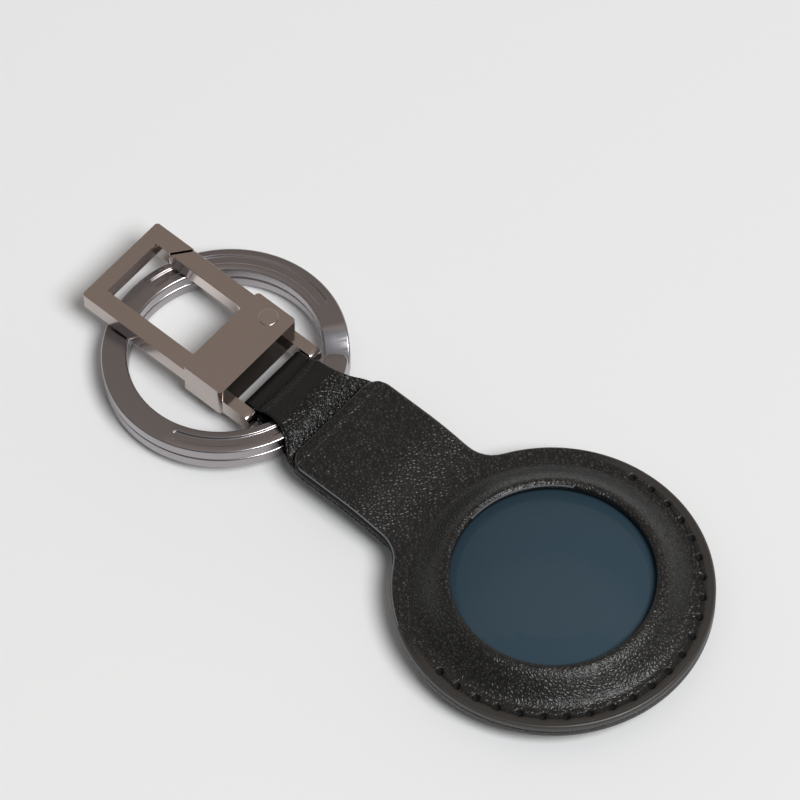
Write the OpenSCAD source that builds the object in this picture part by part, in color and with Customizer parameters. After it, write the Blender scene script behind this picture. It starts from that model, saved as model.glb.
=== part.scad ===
// Key holder for a round tracker tag: a leather disc and neck, a looped strap, a split ring and a snap hook.
// Lengths are in millimetres. The origin is the middle of the back face that the holder lies on.
// +Y runs along the neck towards the hook, and +Z comes out of the window.

/* [Leather disc] */
// Diameter of the leather disc
disc_d = 45; // [43.5:0.5:50]
// Thickness of the front and back leather
leather_t = 1.25; // [1:0.05:1.5]
// Diameter of the window over the tag
window_d = 28.6; // [25:0.2:29.4]
// Diameter of the crest round the window
crest_d = 30.8; // [30.4:0.1:31.6]
// Diameter where the flat rim begins
rim_flat_d = 39.8; // [39:0.1:40.4]
// Height of the front bulge over the rim
bulge_rise = 3.25; // [2.8:0.05:3.8]
// Radius of the front bulge's moulded bends
bulge_bend_r = 2.2; // [1.6:0.1:2.4]
// Drop of the leather at the window's edge
lip_drop = 0.12; // [0:0.02:0.2]
// Rounding of the window's edge
lip_r = 0.4; // [0.2:0.05:0.6]

/* [Back pocket] */
// Depth of the moulded pocket under the seam
pocket_rise = 3; // [2.7:0.1:4]
// Diameter of the pocket's flat back
pocket_flat_d = 24.4; // [20:0.2:26]
// Radius of the pocket's moulded bends
pocket_bend_r = 5.4; // [3:0.1:6]
// Distance of the pocket's open edge past the last stitch hole
mouth_past = 1.5; // [1:0.1:2.5]

/* [Neck] */
// Width of the neck
neck_w = 18.9; // [16:0.1:22]
// Length of the neck from the disc's middle
neck_len = 40.3; // [38:0.1:44]
// Rounding of the neck's end corners
neck_corner_r = 2.8; // [1:0.1:4]
// Fillet between the neck and the disc
neck_fillet_r = 5; // [3:0.1:7]
// Height that the neck rises over the rim
neck_lift = 1.1; // [0.7:0.05:1.2]
// Length of the rise from the disc's edge
neck_ramp = 4.5; // [4.2:0.1:7]

/* [Stitching] */
// Distance from the disc's edge to the stitch line
stitch_inset = 1.8; // [1.6:0.05:2]
// Number of stitch holes
stitch_holes = 23; // [12:1:27]
// Angle from the first stitch hole to the last, in degrees
stitch_span = 196.3; // [180:0.1:200]
// Diameter of a stitch hole
stitch_hole_d = 0.9; // [0.7:0.05:1]
// Width of the thread
thread_w = 0.55; // [0.4:0.05:0.6]
// Height of the thread over its groove's floor
thread_h = 0.35; // [0.25:0.05:0.5]
// Width of the stitch groove
groove_w = 0.95; // [0.8:0.05:1]
// Depth of the stitch groove
groove_depth = 0.2; // [0.1:0.05:0.3]

/* [Strap] */
// Thickness of the strap's leather
strap_t = 0.7; // [0.5:0.05:0.75]
// Width of the strap under the neck
strap_w = 18.7; // [15:0.1:18.8]
// Width of the strap at its fold
fold_w = 11.3; // [9:0.1:11.5]
// Distance from the start of the strap's taper to the end of the neck
taper_lead = 2.5; // [1.5:0.1:3.5]
// Distance from the end of the neck to the end of the strap's taper
taper_run = 6.7; // [6.5:0.1:7]
// Distance from the end of the strap's taper to the bail bar
bar_past = 3.4; // [3.4:0.1:3.8]
// Radius of the bends beside the ring
strap_bend_r = 0.7; // [0.5:0.05:0.9]
// Diameter of the arc that trims the bonded ends
tail_d = 37.6; // [37:0.1:40]
// Room between the strap and the ring
ring_room = 0.25; // [0.15:0.05:0.3]

/* [Split ring] */
// Outer diameter of the split ring
ring_d = 35; // [33:0.5:35.5]
// Width of the flat wire
wire_w = 3.7; // [3:0.1:3.8]
// Thickness of the flat wire
wire_t = 1.86; // [1.5:0.02:2]
// Gap between the two turns
turn_gap = 0.08; // [0.04:0.01:0.12]
// Rounding of the wire's edges
wire_round = 0.5; // [0.3:0.05:0.7]
// Angle that the wire takes to climb one turn, in degrees
climb_angle = 17; // [12:1:24]
// Direction of the outer end of the wire, in degrees
ring_tip_angle = -54; // [-60:1:-48]
// Width of the pressed channel
channel_w = 1.5; // [1:0.1:1.8]
// Depth of the pressed channel
channel_depth = 0.28; // [0.1:0.02:0.4]
// Height of the wire's middle where the strap holds the ring
ring_hold_z = 4.45; // [4.3:0.05:4.7]
// Sideways place of the ring's middle
ring_x = -0.7; // [-1.2:0.1:-0.4]
// Gap between the end of the neck and the ring
ring_neck_gap = 1.8; // [1.6:0.05:2]

/* [Snap hook] */
// Width of the hook's frame
hook_w = 15.9; // [15:0.1:16.4]
// Width of each rail
rail_w = 2.8; // [2.4:0.1:3]
// Thickness of the rails
rail_t = 2.75; // [2.4:0.05:3]
// Distance from the bail bar to the hook's tip
hook_len = 29.7; // [28:0.1:32]
// Thickness of the hook's tip bar
tip_t = 2.3; // [2:0.1:2.8]
// Length of the frame's return beside the gate
return_len = 5.8; // [5:0.1:7]
// Rounding of the frame's outer corners
hook_corner_r = 0.5; // [0.2:0.05:1]
// Gap between the ring and the rails over it
rail_lift = 0.25; // [0.15:0.05:0.4]

/* [Hook block] */
// Distance from the bail bar to the block
block_start = 3.6; // [3.5:0.1:4]
// Length of the block along the hook
block_len = 7.2; // [6.8:0.1:7.8]
// Width that the block stands out past the rails, on each side
block_proud = 0.1; // [0:0.05:0.3]
// Height of the block over the rails' top
block_over = 1.04; // [0.8:0.02:1.3]
// Height of the block under the rails' underside
block_under = 1.7; // [1.2:0.05:1.9]
// Rounding of the block's corners
block_corner_r = 0.6; // [0.3:0.05:1]

/* [Bail] */
// Width between the outer sides of the legs
legs_w = 15.4; // [15:0.1:15.4]
// Width of each leg
leg_w = 1.8; // [1.4:0.1:1.9]
// Thickness of the legs
leg_t = 2.9; // [2.6:0.05:3.1]
// Height from the legs' top to the rails' top
leg_step = 1.3; // [1.1:0.05:1.5]
// Length of the legs past the bail bar
leg_past = 1.3; // [1.1:0.05:1.4]
// Rounding of the legs' ends
leg_round = 1; // [0.9:0.05:1.3]
// Diameter of the bail bar
bar_d = 1.8; // [1.4:0.05:2]
// Room between the strap's fold and the bail bar
fold_room = 0.05; // [0.03:0.01:0.1]

/* [Gate] */
// Width of the gate's arm
gate_w = 2.8; // [2.4:0.1:3]
// Sideways gap from the hook's outer side to the gate's outer side
gate_inset = 0.1; // [0:0.05:0.3]
// Diameter of the gate's eye
eye_d = 4; // [3.6:0.1:4.2]
// Distance of the rivet from the block's end face
rivet_back = 3.3; // [3:0.1:3.6]
// Diameter of the rivet's shank
rivet_d = 2.1; // [1.6:0.1:2.2]
// Diameter of the rivet's head
rivet_head_d = 2.8; // [2.4:0.1:3]
// Height of the rivet's head over the block
rivet_head_h = 0.12; // [0.05:0.01:0.2]
// Radial running clearance of the gate on the rivet
rivet_fit = 0.05; // [0.03:0.01:0.08]
// Gap between the gate and the walls of its slot
gate_gap = 0.12; // [0.08:0.01:0.2]
// Gap between the gate's nose and the frame's return
nose_gap = 0.35; // [0.2:0.05:0.6]
// Slant of the gate's nose, over the arm's width
nose_slant = 2.2; // [1:0.1:2.4]
// Distance that the heel reaches past the eye's middle
heel_reach = 3.85; // [3.5:0.05:4]
// Thickness of the heel along the hook
heel_t = 2.6; // [2.2:0.1:2.8]
// Fillet between the gate's arm and its heel
gate_fillet_r = 1.5; // [0.8:0.1:1.5]

/* [Gate spring] */
// Outer diameter of the gate spring
spring_d = 1.8; // [1.6:0.05:1.9]
// Diameter of the spring's wire
spring_wire_d = 0.32; // [0.28:0.02:0.36]
// Number of curls in the spring
spring_curls = 4; // [3:1:4]
// Sideways gap between the spring and the gate's eye
spring_gap = 0.1; // [0.08:0.02:0.2]

/* [Tracker tag] */
// Diameter of the tag
tag_d = 31.9; // [31:0.1:32.4]
// Thickness of the tag
tag_h = 8; // [7.8:0.1:8.2]
// Radius of the tag's domed face
dome_r = 43; // [40:0.5:50]
// Rounding of the tag's upper edge
edge_r = 2; // [1.8:0.1:2.2]
// Rounding of the tag's lower edge
under_r = 2.9; // [2.6:0.05:3]
// Thickness of the tag's plastic shell
shell_t = 1.2; // [1:0.05:1.3]
// Gap between the tag and the pocket's floor
tag_gap = 0.05; // [0.03:0.01:0.2]
// Diameter of the battery cover
cover_d = 25.2; // [24.6:0.1:25.4]
// Thickness of the cover's sheet metal
cover_t = 0.4; // [0.3:0.02:0.5]
// Height of the cover's wall
cover_wall_h = 1.9; // [1.7:0.05:2]
// Rounding of the cover's outer edge
cover_edge_r = 0.6; // [0.5:0.05:0.8]
// Gap between the cover and the tag's base
cover_gap = 0.15; // [0.1:0.01:0.25]
// Turn that unlocks the cover, in degrees
unlock_turn = 15; // [10:1:20]
// Width of a cover lug, in degrees
lug_angle = 14; // [10:1:18]
// Distance that a cover lug stands out
lug_out = 0.5; // [0.3:0.05:0.6]
// Diameter of the coin cell
cell_d = 20; // [19:0.1:20.2]
// Thickness of the coin cell
cell_t = 3.2; // [3:0.05:3.3]
// Thickness of the battery contacts
contact_t = 0.2; // [0.15:0.01:0.25]
// Thickness of the tray over the cell
tray_t = 0.6; // [0.5:0.05:0.7]
// Outer diameter of the circuit board
board_d = 21; // [19:0.5:22]
// Inner diameter of the circuit board
board_hole_d = 12; // [11.6:0.1:13]
// Thickness of the circuit board
board_t = 0.6; // [0.5:0.05:0.7]
// Diameter of the sounder's magnet
magnet_d = 8.8; // [8:0.1:9]
// Height of the sounder's magnet
magnet_h = 1.3; // [1.1:0.05:1.5]
// Wall of the sounder's coil
coil_wall = 0.7; // [0.5:0.05:0.8]
// Height of the sounder's coil
coil_h = 1.4; // [1.2:0.05:1.5]

/* [Hidden] */

// Overrun for cuts
over = 1;
// Height that clears the whole holder
tall = 20;
// Facets of round parts
round_fn = 96;
// Points along one moulded bend
bend_steps = 8;
// Points along one rounded edge
edge_steps = 4;

// Levels and places of the leather, whose seam of revolution lies between the last two stitch holes
stitch_line_d = disc_d - 2 * stitch_inset;
stitch_turn = stitch_span / (stitch_holes - 1);
seam_turn = (stitch_span - 180 - stitch_turn) / 2;
pocket_mouth_y = stitch_line_d / 2 * sin(stitch_span / 2 - 90) + mouth_past;
seam_z = pocket_rise + leather_t;
rim_top = seam_z + leather_t;
crest_z = rim_top + bulge_rise;
neck_z = seam_z + neck_lift;
fillet_bite = 0.03;
ramp_foot = [disc_d / 2, seam_z + leather_t / 2];
ramp_head = [disc_d / 2 + neck_ramp, neck_z + leather_t / 2];

// Levels and places of the tag
tag_z = leather_t + tag_gap;
tag_top = tag_z + tag_h;
dome_z = tag_top - dome_r;
edge_x = tag_d / 2 - edge_r;
waist_z = dome_z + sqrt(pow(dome_r - edge_r, 2) - pow(edge_x, 2));
cell_gap = 0.15;
cell_z = tag_z + cover_t + cell_gap;
tray_z = cell_z + cell_t + contact_t;
floor_z = tray_z + tray_t;
lug_t = 0.45;
lug_drop = 0.15;
lug_z = tag_z + cover_wall_h - lug_t - lug_drop;
track_top = tag_z + cover_wall_h + cover_gap;
spigot_gap = 0.15;
coil_gap = 0.3;
coil_lift = 0.35;
cell_edge = 0.3;
contact_size = [3.2, 1.4];
contact_place = 7;
lug_share = [0, 1, 2];

// Ring, tilted so that it rests on the ground under the hook
ring_r = ring_d / 2;
ring_in = ring_r - wire_w;
ring_mid = ring_r - wire_w / 2;
ring_half = wire_t + turn_gap / 2;
ring_y = neck_len + ring_neck_gap + ring_r;
tilt_arm = ring_mid + ring_r - wire_round;
tilt_rise = ring_half - wire_round;
ring_tilt = asin((ring_hold_z - wire_round) / sqrt(tilt_arm * tilt_arm + tilt_rise * tilt_rise))
    - atan(tilt_rise / tilt_arm);
ring_z = ring_hold_z - ring_mid * sin(ring_tilt);
channel_r = ring_mid;
// First and last place of each pressed channel, in degrees from the wire's end
channel_arcs = [[32, 138], [247, 334]];
// Degrees in which a channel's end or the wire's end rounds off, and the places where it is measured
channel_turn = channel_w / 2 / channel_r * 180 / PI;
channel_lip = channel_turn / 20;
channel_end_share = 0.4;
channel_land_share = 0.7;
channel_wall_share = 0.1;
channel_stops = [0, 1 / 8, 1 / 2];
tip_round = 1.1;
tip_turn = tip_round / ring_mid * 180 / PI;
tip_stops = [0, 1 / 8, 1 / 2];
climb_stops = 10;
wire_step = 7.5;
wire_steps = 2;
climb_from = 360 - climb_angle;
wire_end = 720 - climb_angle;

// Hook levels, stacked over the ring
cross_y = sqrt(pow(ring_in, 2) - pow(hook_w / 2 - ring_x, 2));
rail_z = ring_z + ring_half * cos(ring_tilt) - cross_y * sin(ring_tilt) + rail_lift;
rail_top = rail_z + rail_t;
block_z = rail_z - block_under;
block_h = rail_t + block_over + block_under;
leg_z = rail_top - leg_step - leg_t;
bar_z = leg_z + leg_t / 2;

// Strap levels and places round the ring and the bar
taper_start = neck_len - taper_lead;
taper_end = neck_len + taper_run;
strap_mid_top = neck_z - strap_t / 2;
strap_mid_low = neck_z - strap_t * 3 / 2;
arch_z = ring_hold_z + ring_half + ring_room + strap_t / 2;
sag_z = ring_hold_z - ring_half - ring_room - strap_t / 2;
fold_r = bar_d / 2 + fold_room + strap_t / 2;
arch_y = neck_len + ring_neck_gap + ring_room;
bar_y = taper_end + bar_past;
arch_end = taper_end - strap_t;
sag_end = taper_end + strap_t / 2;

// Hook places along Y
block_y = bar_y + block_start;
block_end = block_y + block_len;
tip_y = bar_y + hook_len;
block_half = hook_w / 2 + block_proud;

// Gate places
gate_x1 = hook_w / 2 - gate_inset;
gate_x0 = gate_x1 - gate_w;
rivet_x = gate_x1 - eye_d / 2;
rivet_y = block_y + rivet_back;
heel_x = rivet_x - heel_reach;
heel_inset = 0.2;
heel_top = block_end - heel_inset;
heel_low = heel_top - heel_t;
return_y = tip_y - return_len;
nose_y = return_y - nose_gap;
slot_z = rail_z - gate_gap / 2;
slot_h = rail_t + gate_gap;
slot_floor = rivet_y - eye_d / 4 - gate_gap;
heel_corner = sqrt(pow(heel_reach, 2) + pow(heel_top - rivet_y, 2));
slot_reach = heel_corner + gate_gap;
spring_x = rivet_x - eye_d / 2 - spring_gap - spring_d / 2;
spring_z = rail_z + rail_t / 2;
spring_seat = 0.9;
spring_y0 = block_y + spring_seat;
spring_y1 = heel_low - spring_wire_d / 4;
spring_room = 0.12;

// Points of a bend from a level to another, offset sideways by off, with straight slope between two arcs
function bend_r(d, h, r) = min(r, (d * d + h * h) / (4 * h));
function bend_a(d, h, r) = atan2(h - 2 * r, d) + asin(min(1, 2 * r / sqrt(d * d + pow(h - 2 * r, 2))));
function bend(p, q, r, off) =
    let (s = sign(q[1] - p[1]), d = q[0] - p[0], h = abs(q[1] - p[1]))
    let (b = bend_r(d, h, r), a = bend_a(d, h, b), n = bend_steps)
    concat(
        [for (i = [0 : n]) p + [(b - s * off) * sin(a * i / n), s * (b - (b - s * off) * cos(a * i / n))]],
        [for (i = [n : -1 : 0]) q - [(b + s * off) * sin(a * i / n), s * (b - (b + s * off) * cos(a * i / n))]]);

// Points of an arc about c from angle a to angle b
function arc(c, r, a, b, n) = [for (i = [0 : n]) c + r * [cos(a + (b - a) * i / n), sin(a + (b - a) * i / n)]];
function reversed(v) = [for (i = [len(v) - 1 : -1 : 0]) v[i]];

// Ring of the leather front, cut through its radius
module front_profile() {
    c = [crest_d / 2, crest_z - leather_t / 2];
    e = [rim_flat_d / 2, seam_z + leather_t / 2];
    polygon(concat(
        bend(c, e, bulge_bend_r, leather_t / 2),
        [[disc_d / 2, rim_top], [disc_d / 2, seam_z]],
        reversed(bend(c, e, bulge_bend_r, -leather_t / 2)),
        [[window_d / 2, crest_z - leather_t - lip_drop]],
        arc([window_d / 2 + lip_r, crest_z - lip_drop - lip_r], lip_r, 180, 90, edge_steps)));
}

// Plan of the neck, with its fillets to the disc
module neck_plan() {
    w = neck_w / 2;
    fillet_x = w + neck_fillet_r;
    fillet_y = sqrt(pow(disc_d / 2 + neck_fillet_r - fillet_bite, 2) - pow(fillet_x, 2));
    translate([-w, 0])
        square([neck_w, neck_len - neck_corner_r]);
    translate([-w + neck_corner_r, 0])
        square([neck_w - 2 * neck_corner_r, neck_len]);
    for (s = [-1, 1]) {
        translate([s * (w - neck_corner_r), neck_len - neck_corner_r])
            circle(r = neck_corner_r, $fn = round_fn);
        difference() {
            polygon([[0, 0], [0, fillet_y], [s * fillet_x, fillet_y]]);
            translate([s * fillet_x, fillet_y])
                circle(r = neck_fillet_r, $fn = round_fn);
        }
    }
}

// Neck seen from its side, rising from the rim to its own level
module neck_side() {
    polygon(concat(
        [[0, rim_top]], bend(ramp_foot, ramp_head, tall, leather_t / 2),
        [[neck_len + over, neck_z + leather_t], [neck_len + over, neck_z]],
        reversed(bend(ramp_foot, ramp_head, tall, -leather_t / 2)), [[0, seam_z]]));
}

// Arc of groove under the stitches, with its holes
module stitch_cut(z, depth) {
    rotate([0, 0, -90 - stitch_span / 2])
        rotate_extrude(angle = stitch_span, $fn = round_fn)
            translate([stitch_line_d / 2 - groove_w / 2, z - depth])
                square([groove_w, 2 * depth]);
    for (i = [0 : stitch_holes - 1])
        rotate([0, 0, -90 - stitch_span / 2 + i * stitch_turn])
            translate([stitch_line_d / 2, 0, 0])
                rotate([0, 0, 90])
                    cylinder(d = stitch_hole_d, h = tall, $fn = 16);
}

// Front leather: window, moulded bulge and neck in one piece
module leather_front() {
    color("#26241f")
    difference() {
        union() {
            rotate([0, 0, seam_turn])
                rotate_extrude($fn = round_fn)
                    front_profile();
            intersection() {
                translate([-disc_d / 2, 0, 0])
                    rotate([90, 0, 90])
                        linear_extrude(disc_d)
                            neck_side();
                linear_extrude(tall)
                    difference() {
                        neck_plan();
                        circle(d = (rim_flat_d + disc_d) / 2, $fn = round_fn);
                    }
            }
        }
        stitch_cut(rim_top, groove_depth);
    }
}

// Back leather: a moulded half moon that the tag slides into from the neck side
module back_pocket() {
    c = [pocket_flat_d / 2, leather_t / 2];
    e = [rim_flat_d / 2, seam_z - leather_t / 2];
    color("#211f1c")
    difference() {
        rotate([0, 0, seam_turn])
            rotate_extrude($fn = round_fn)
                polygon(concat(
                    [[0, leather_t]], bend(c, e, pocket_bend_r, leather_t / 2),
                    [[disc_d / 2, seam_z], [disc_d / 2, pocket_rise]],
                    reversed(bend(c, e, pocket_bend_r, -leather_t / 2)), [[0, 0]]));
        translate([-disc_d, pocket_mouth_y, -over])
            cube([2 * disc_d, disc_d, tall]);
        stitch_cut(pocket_rise, groove_depth);
    }
}

// One stitch, from one hole to the next
module stitch(z) {
    half = stitch_line_d / 2 * sin(stitch_turn / 2) - stitch_hole_d / 2 - thread_w / 4;
    translate([stitch_line_d / 2 * cos(stitch_turn / 2), 0, z])
        linear_extrude(thread_h)
            polygon(concat(
                arc([0, half], thread_w / 2, 0, 180, edge_steps),
                arc([0, -half], thread_w / 2, 180, 360, edge_steps)));
}

// Thread: a row of stitches on the front and one on the back
module stitching() {
    color("#141311")
    for (i = [0 : stitch_holes - 2])
        rotate([0, 0, -90 - stitch_span / 2 + (i + 1 / 2) * stitch_turn]) {
            stitch(rim_top - groove_depth);
            stitch(pocket_rise + groove_depth - thread_h);
        }
}

// Strap seen from its side: one band, folded round the bar, with both ends bonded under the neck
module strap_side() {
    up = [neck_len, strap_mid_top];
    low = [neck_len, strap_mid_low];
    t = strap_t / 2;
    under = -leather_t / 2;
    difference() {
        polygon(concat(
            [[0, seam_z]],
            bend(ramp_foot, ramp_head, tall, under),
            bend(up, [arch_y, arch_z], strap_bend_r, t),
            bend([arch_end, arch_z], [bar_y, bar_z + fold_r], tall, t),
            arc([bar_y, bar_z], fold_r + t, 90, -90, 2 * bend_steps),
            reversed(bend([sag_end, sag_z], [bar_y, bar_z - fold_r], tall, -t)),
            reversed(bend(low, [arch_y, sag_z], strap_bend_r, -t)),
            reversed(bend(ramp_foot, ramp_head, tall, under - 2 * strap_t)),
            [[0, seam_z - 2 * strap_t]]));
        polygon(concat(
            bend(up, [arch_y, arch_z], strap_bend_r, -t),
            bend([arch_end, arch_z], [bar_y, bar_z + fold_r], tall, -t),
            arc([bar_y, bar_z], fold_r - t, 90, -90, 2 * bend_steps),
            reversed(bend([sag_end, sag_z], [bar_y, bar_z - fold_r], tall, t)),
            reversed(bend(low, [arch_y, sag_z], strap_bend_r, t))));
    }
}

// Strap seen from above, narrowing from the neck to the fold
module strap_plan() {
    side = bend([taper_start, strap_w / 2], [taper_end, fold_w / 2], tall, 0);
    polygon(concat(
        [[0, strap_w / 2]], side, [[tip_y, fold_w / 2], [tip_y, -fold_w / 2]],
        reversed([for (p = side) [p[0], -p[1]]]), [[0, -strap_w / 2]]));
}

module strap() {
    color("#1d1b19")
    difference() {
        intersection() {
            translate([-strap_w / 2, 0, 0])
                rotate([90, 0, 90])
                    linear_extrude(strap_w)
                        strap_side();
            mirror([1, -1, 0])
                linear_extrude(tall)
                    strap_plan();
        }
        translate([0, 0, -over])
            cylinder(d = tail_d, h = tall, $fn = round_fn);
    }
}

// Section of the flat wire at level z, drawn in at both sides by inset, with a channel of that width and depth d
function wire_section(z, inset, width, d) =
    let (x0 = ring_in + inset, x1 = ring_r - inset, top = z + wire_t, r = wire_round)
    let (w = min(width, (x1 - x0 - 2 * r) * channel_land_share), e = w * channel_wall_share)
    concat(
        arc([x1 - r, top - r], r, 90, 0, wire_steps), arc([x1 - r, z + r], r, 0, -90, wire_steps),
        arc([x0 + r, z + r], r, -90, -180, wire_steps), arc([x0 + r, top - r], r, 180, 90, wire_steps),
        [[channel_r - w / 2, top], [channel_r - w / 2 + e, top - d],
            [channel_r + w / 2 - e, top - d], [channel_r + w / 2, top]]);

// Angles from a up to b in even steps, without b itself
function steps(a, b) = [for (i = [0 : ceil((b - a) / wire_step) - 1]) a + (b - a) * i / ceil((b - a) / wire_step)];
// How far round a corner of share 0 to 1 a place lies, from its square start to its closed end
function round_off(t) = 1 - sqrt(1 - min(1, t * t));
// Distance in degrees that the angle u lies inside the nearest channel, below zero outside
function channel_in(u) = max([for (c = channel_arcs) min(u - c[0], c[1] - u)]);
function wire_level(u) =
    u <= climb_from ? -ring_half
    : u >= 360 ? turn_gap / 2
    : -ring_half + (wire_t + turn_gap) * (1 - cos(180 * (u - climb_from) / climb_angle)) / 2;
function wire_inset(u) = tip_round * round_off(max(0, 1 - u / tip_turn, 1 - (wire_end - u) / tip_turn));
function channel_width(u) =
    channel_w * max(channel_end_share, sqrt(1 - pow(max(0, 1 - channel_in(u - climb_from) / channel_turn), 2)));

// Place of a point of the wire's section at angle a round the tilted ring
function ring_point(a, p) =
    let (x = p[0] * cos(a), y = p[0] * sin(a))
    [ring_x + x, ring_y + y * cos(ring_tilt) + p[1] * sin(ring_tilt), ring_z - y * sin(ring_tilt) + p[1] * cos(ring_tilt)];

// Split ring: one flat wire in two turns, with the climb between them beside the wire's end
module split_ring() {
    starts = [for (c = channel_arcs) climb_from + c[0]];
    ends = [for (c = channel_arcs) climb_from + c[1]];
    k = channel_turn;
    angles = concat(
        [for (t = tip_stops) t * tip_turn], steps(tip_turn, climb_from),
        [for (i = [0 : climb_stops - 1]) climb_from + climb_angle * i / climb_stops],
        steps(360, starts[0]), [for (t = channel_stops) starts[0] + t * k],
        steps(starts[0] + k, ends[0] - k), [for (t = reversed(channel_stops)) ends[0] - t * k],
        steps(ends[0] + channel_lip, starts[1]), [for (t = channel_stops) starts[1] + t * k],
        steps(starts[1] + k, ends[1] - k), [for (t = reversed(channel_stops)) ends[1] - t * k],
        steps(ends[1] + channel_lip, wire_end - tip_turn),
        [for (t = reversed(tip_stops)) wire_end - t * tip_turn]);
    sections = [for (u = angles)
        wire_section(wire_level(u), wire_inset(u), channel_width(u),
            u > 360 && channel_in(u - climb_from) > channel_lip ? channel_depth : 0)];
    n = len(sections[0]);
    last = len(angles) - 1;
    points = [for (i = [0 : last]) for (p = sections[i]) ring_point(angles[i] + climb_angle + ring_tip_angle, p)];
    walls = [for (i = [0 : last - 1]) for (j = [0 : n - 1]) for (h = [0, 1])
        h == 0 ? [i * n + j, (i + 1) * n + j, i * n + (j + 1) % n]
        : [i * n + (j + 1) % n, (i + 1) * n + j, (i + 1) * n + (j + 1) % n]];
    color("#6b6461")
    polyhedron(points, concat(
        walls, [[for (j = [0 : n - 1]) j]], [[for (j = [n - 1 : -1 : 0]) last * n + j]]));
}

// Rounded rectangle on a plan
module round_plan(x0, x1, y0, y1, r) {
    translate([x0 + r, y0])
        square([x1 - x0 - 2 * r, y1 - y0]);
    translate([x0, y0 + r])
        square([x1 - x0, y1 - y0 - 2 * r]);
    for (x = [x0 + r, x1 - r])
        for (y = [y0 + r, y1 - r])
            translate([x, y])
                circle(r = r, $fn = 32);
}

// Slot in the block that the gate's eye and heel turn in
module gate_slot() {
    translate([0, 0, slot_z])
        linear_extrude(slot_h) {
            difference() {
                translate([rivet_x, rivet_y])
                    circle(r = slot_reach, $fn = round_fn);
                translate([-hook_w, slot_floor - 2 * slot_reach])
                    square([2 * hook_w, 2 * slot_reach]);
            }
            translate([rivet_x, rivet_y])
                circle(r = eye_d / 2 + gate_gap, $fn = 48);
            translate([rivet_x, rivet_y - eye_d / 2 - gate_gap])
                square([hook_w, block_len]);
        }
    translate([spring_x, spring_y0, spring_z])
        rotate([-90, 0, 0])
            cylinder(d = spring_d + 2 * spring_room, h = slot_floor - spring_y0 + over, $fn = 32);
}

// Side view of one leg, rounded at its end
module leg_side() {
    y0 = bar_y - leg_past;
    round_plan(y0, block_y + over, leg_z, leg_z + leg_t, leg_round);
    translate([block_y - leg_round, leg_z])
        square([leg_round + over, leg_t]);
}

// Cast body of the snap hook: frame, block, legs and bail bar
module hook_body() {
    w = hook_w / 2;
    color("#7d6f66")
    difference() {
        union() {
            translate([0, 0, rail_z])
                linear_extrude(rail_t)
                    difference() {
                        round_plan(-w, w, block_y + over, tip_y, hook_corner_r);
                        translate([-w + rail_w, 0])
                            square([2 * (w - rail_w), tip_y - tip_t]);
                        translate([0, 0])
                            polygon([[0, 0], [2 * w, 0], [2 * w, return_y - nose_slant / 2],
                                [w, return_y - nose_slant / 2], [w - rail_w, return_y + nose_slant / 2],
                                [0, return_y + nose_slant / 2]]);
                    }
            translate([0, 0, block_z])
                linear_extrude(block_h)
                    round_plan(-block_half, block_half, block_y, block_end, block_corner_r);
            for (x = [-legs_w / 2, legs_w / 2 - leg_w])
                translate([x, 0, 0])
                    rotate([90, 0, 90])
                        linear_extrude(leg_w)
                            leg_side();
            translate([-legs_w / 2 + leg_w / 2, bar_y, bar_z])
                rotate([0, 90, 0])
                    cylinder(d = bar_d, h = legs_w - leg_w, $fn = 48);
        }
        gate_slot();
        translate([rivet_x, rivet_y, block_z - over])
            cylinder(d = rivet_d, h = block_h + 2 * over, $fn = 48);
    }
}

// Rivet that the gate turns on
module gate_rivet() {
    color("#857870")
    translate([rivet_x, rivet_y, 0]) {
        translate([0, 0, block_z])
            cylinder(d = rivet_d, h = block_h, $fn = 48);
        translate([0, 0, block_z + block_h])
            rotate_extrude($fn = 48)
                polygon(concat([[0, 0]],
                    [[rivet_head_d / 2, 0]],
                    arc([rivet_head_d / 2 - rivet_head_h, 0], rivet_head_h, 0, 90, edge_steps),
                    [[0, rivet_head_h]]));
        translate([0, 0, block_z - rivet_head_h])
            cylinder(d = rivet_head_d, h = rivet_head_h, $fn = 48);
    }
}

// Gate seen from above: eye, heel and arm with a slanted nose
module gate_plan() {
    translate([rivet_x, rivet_y])
        circle(d = eye_d, $fn = 64);
    translate([rivet_x - eye_d / 2, rivet_y])
        square([eye_d, heel_top - rivet_y]);
    translate([heel_x, heel_low])
        square([gate_x1 - heel_x, heel_t]);
    polygon([[gate_x0, heel_low], [gate_x1, heel_low], [gate_x1, nose_y - nose_slant / 2],
        [gate_x0, nose_y + nose_slant / 2]]);
    difference() {
        translate([gate_x0 - gate_fillet_r, heel_top - gate_gap])
            square([gate_fillet_r + gate_gap, gate_fillet_r + gate_gap]);
        translate([gate_x0 - gate_fillet_r, heel_top + gate_fillet_r])
            circle(r = gate_fillet_r, $fn = 48);
    }
}

// Sprung gate that closes the hook
module gate() {
    color("#7d6f66")
    translate([0, 0, rail_z])
        difference() {
            linear_extrude(rail_t)
                gate_plan();
            translate([rivet_x, rivet_y, -over])
                cylinder(d = rivet_d + 2 * rivet_fit, h = rail_t + 2 * over, $fn = 48);
        }
}

// Coil spring that pushes the heel, one unbroken tube of wire
spring_rings = 8 * spring_curls;
spring_r = spring_d / 2 - spring_wire_d / 2;
spring_len = spring_y1 - spring_y0 - spring_wire_d;
spring_path = [for (i = [0 : spring_rings])
    [spring_r * cos(45 * i), spring_wire_d / 2 + spring_len * i / spring_rings, spring_r * sin(45 * i)]];
spring_spans = [for (i = [0 : spring_rings - 8]) for (j = [i + 6 : min(i + 10, spring_rings)])
    norm(spring_path[i] - spring_path[j]) - spring_wire_d];
echo(least_gap_between_spring_curls = min(spring_spans));

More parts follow.
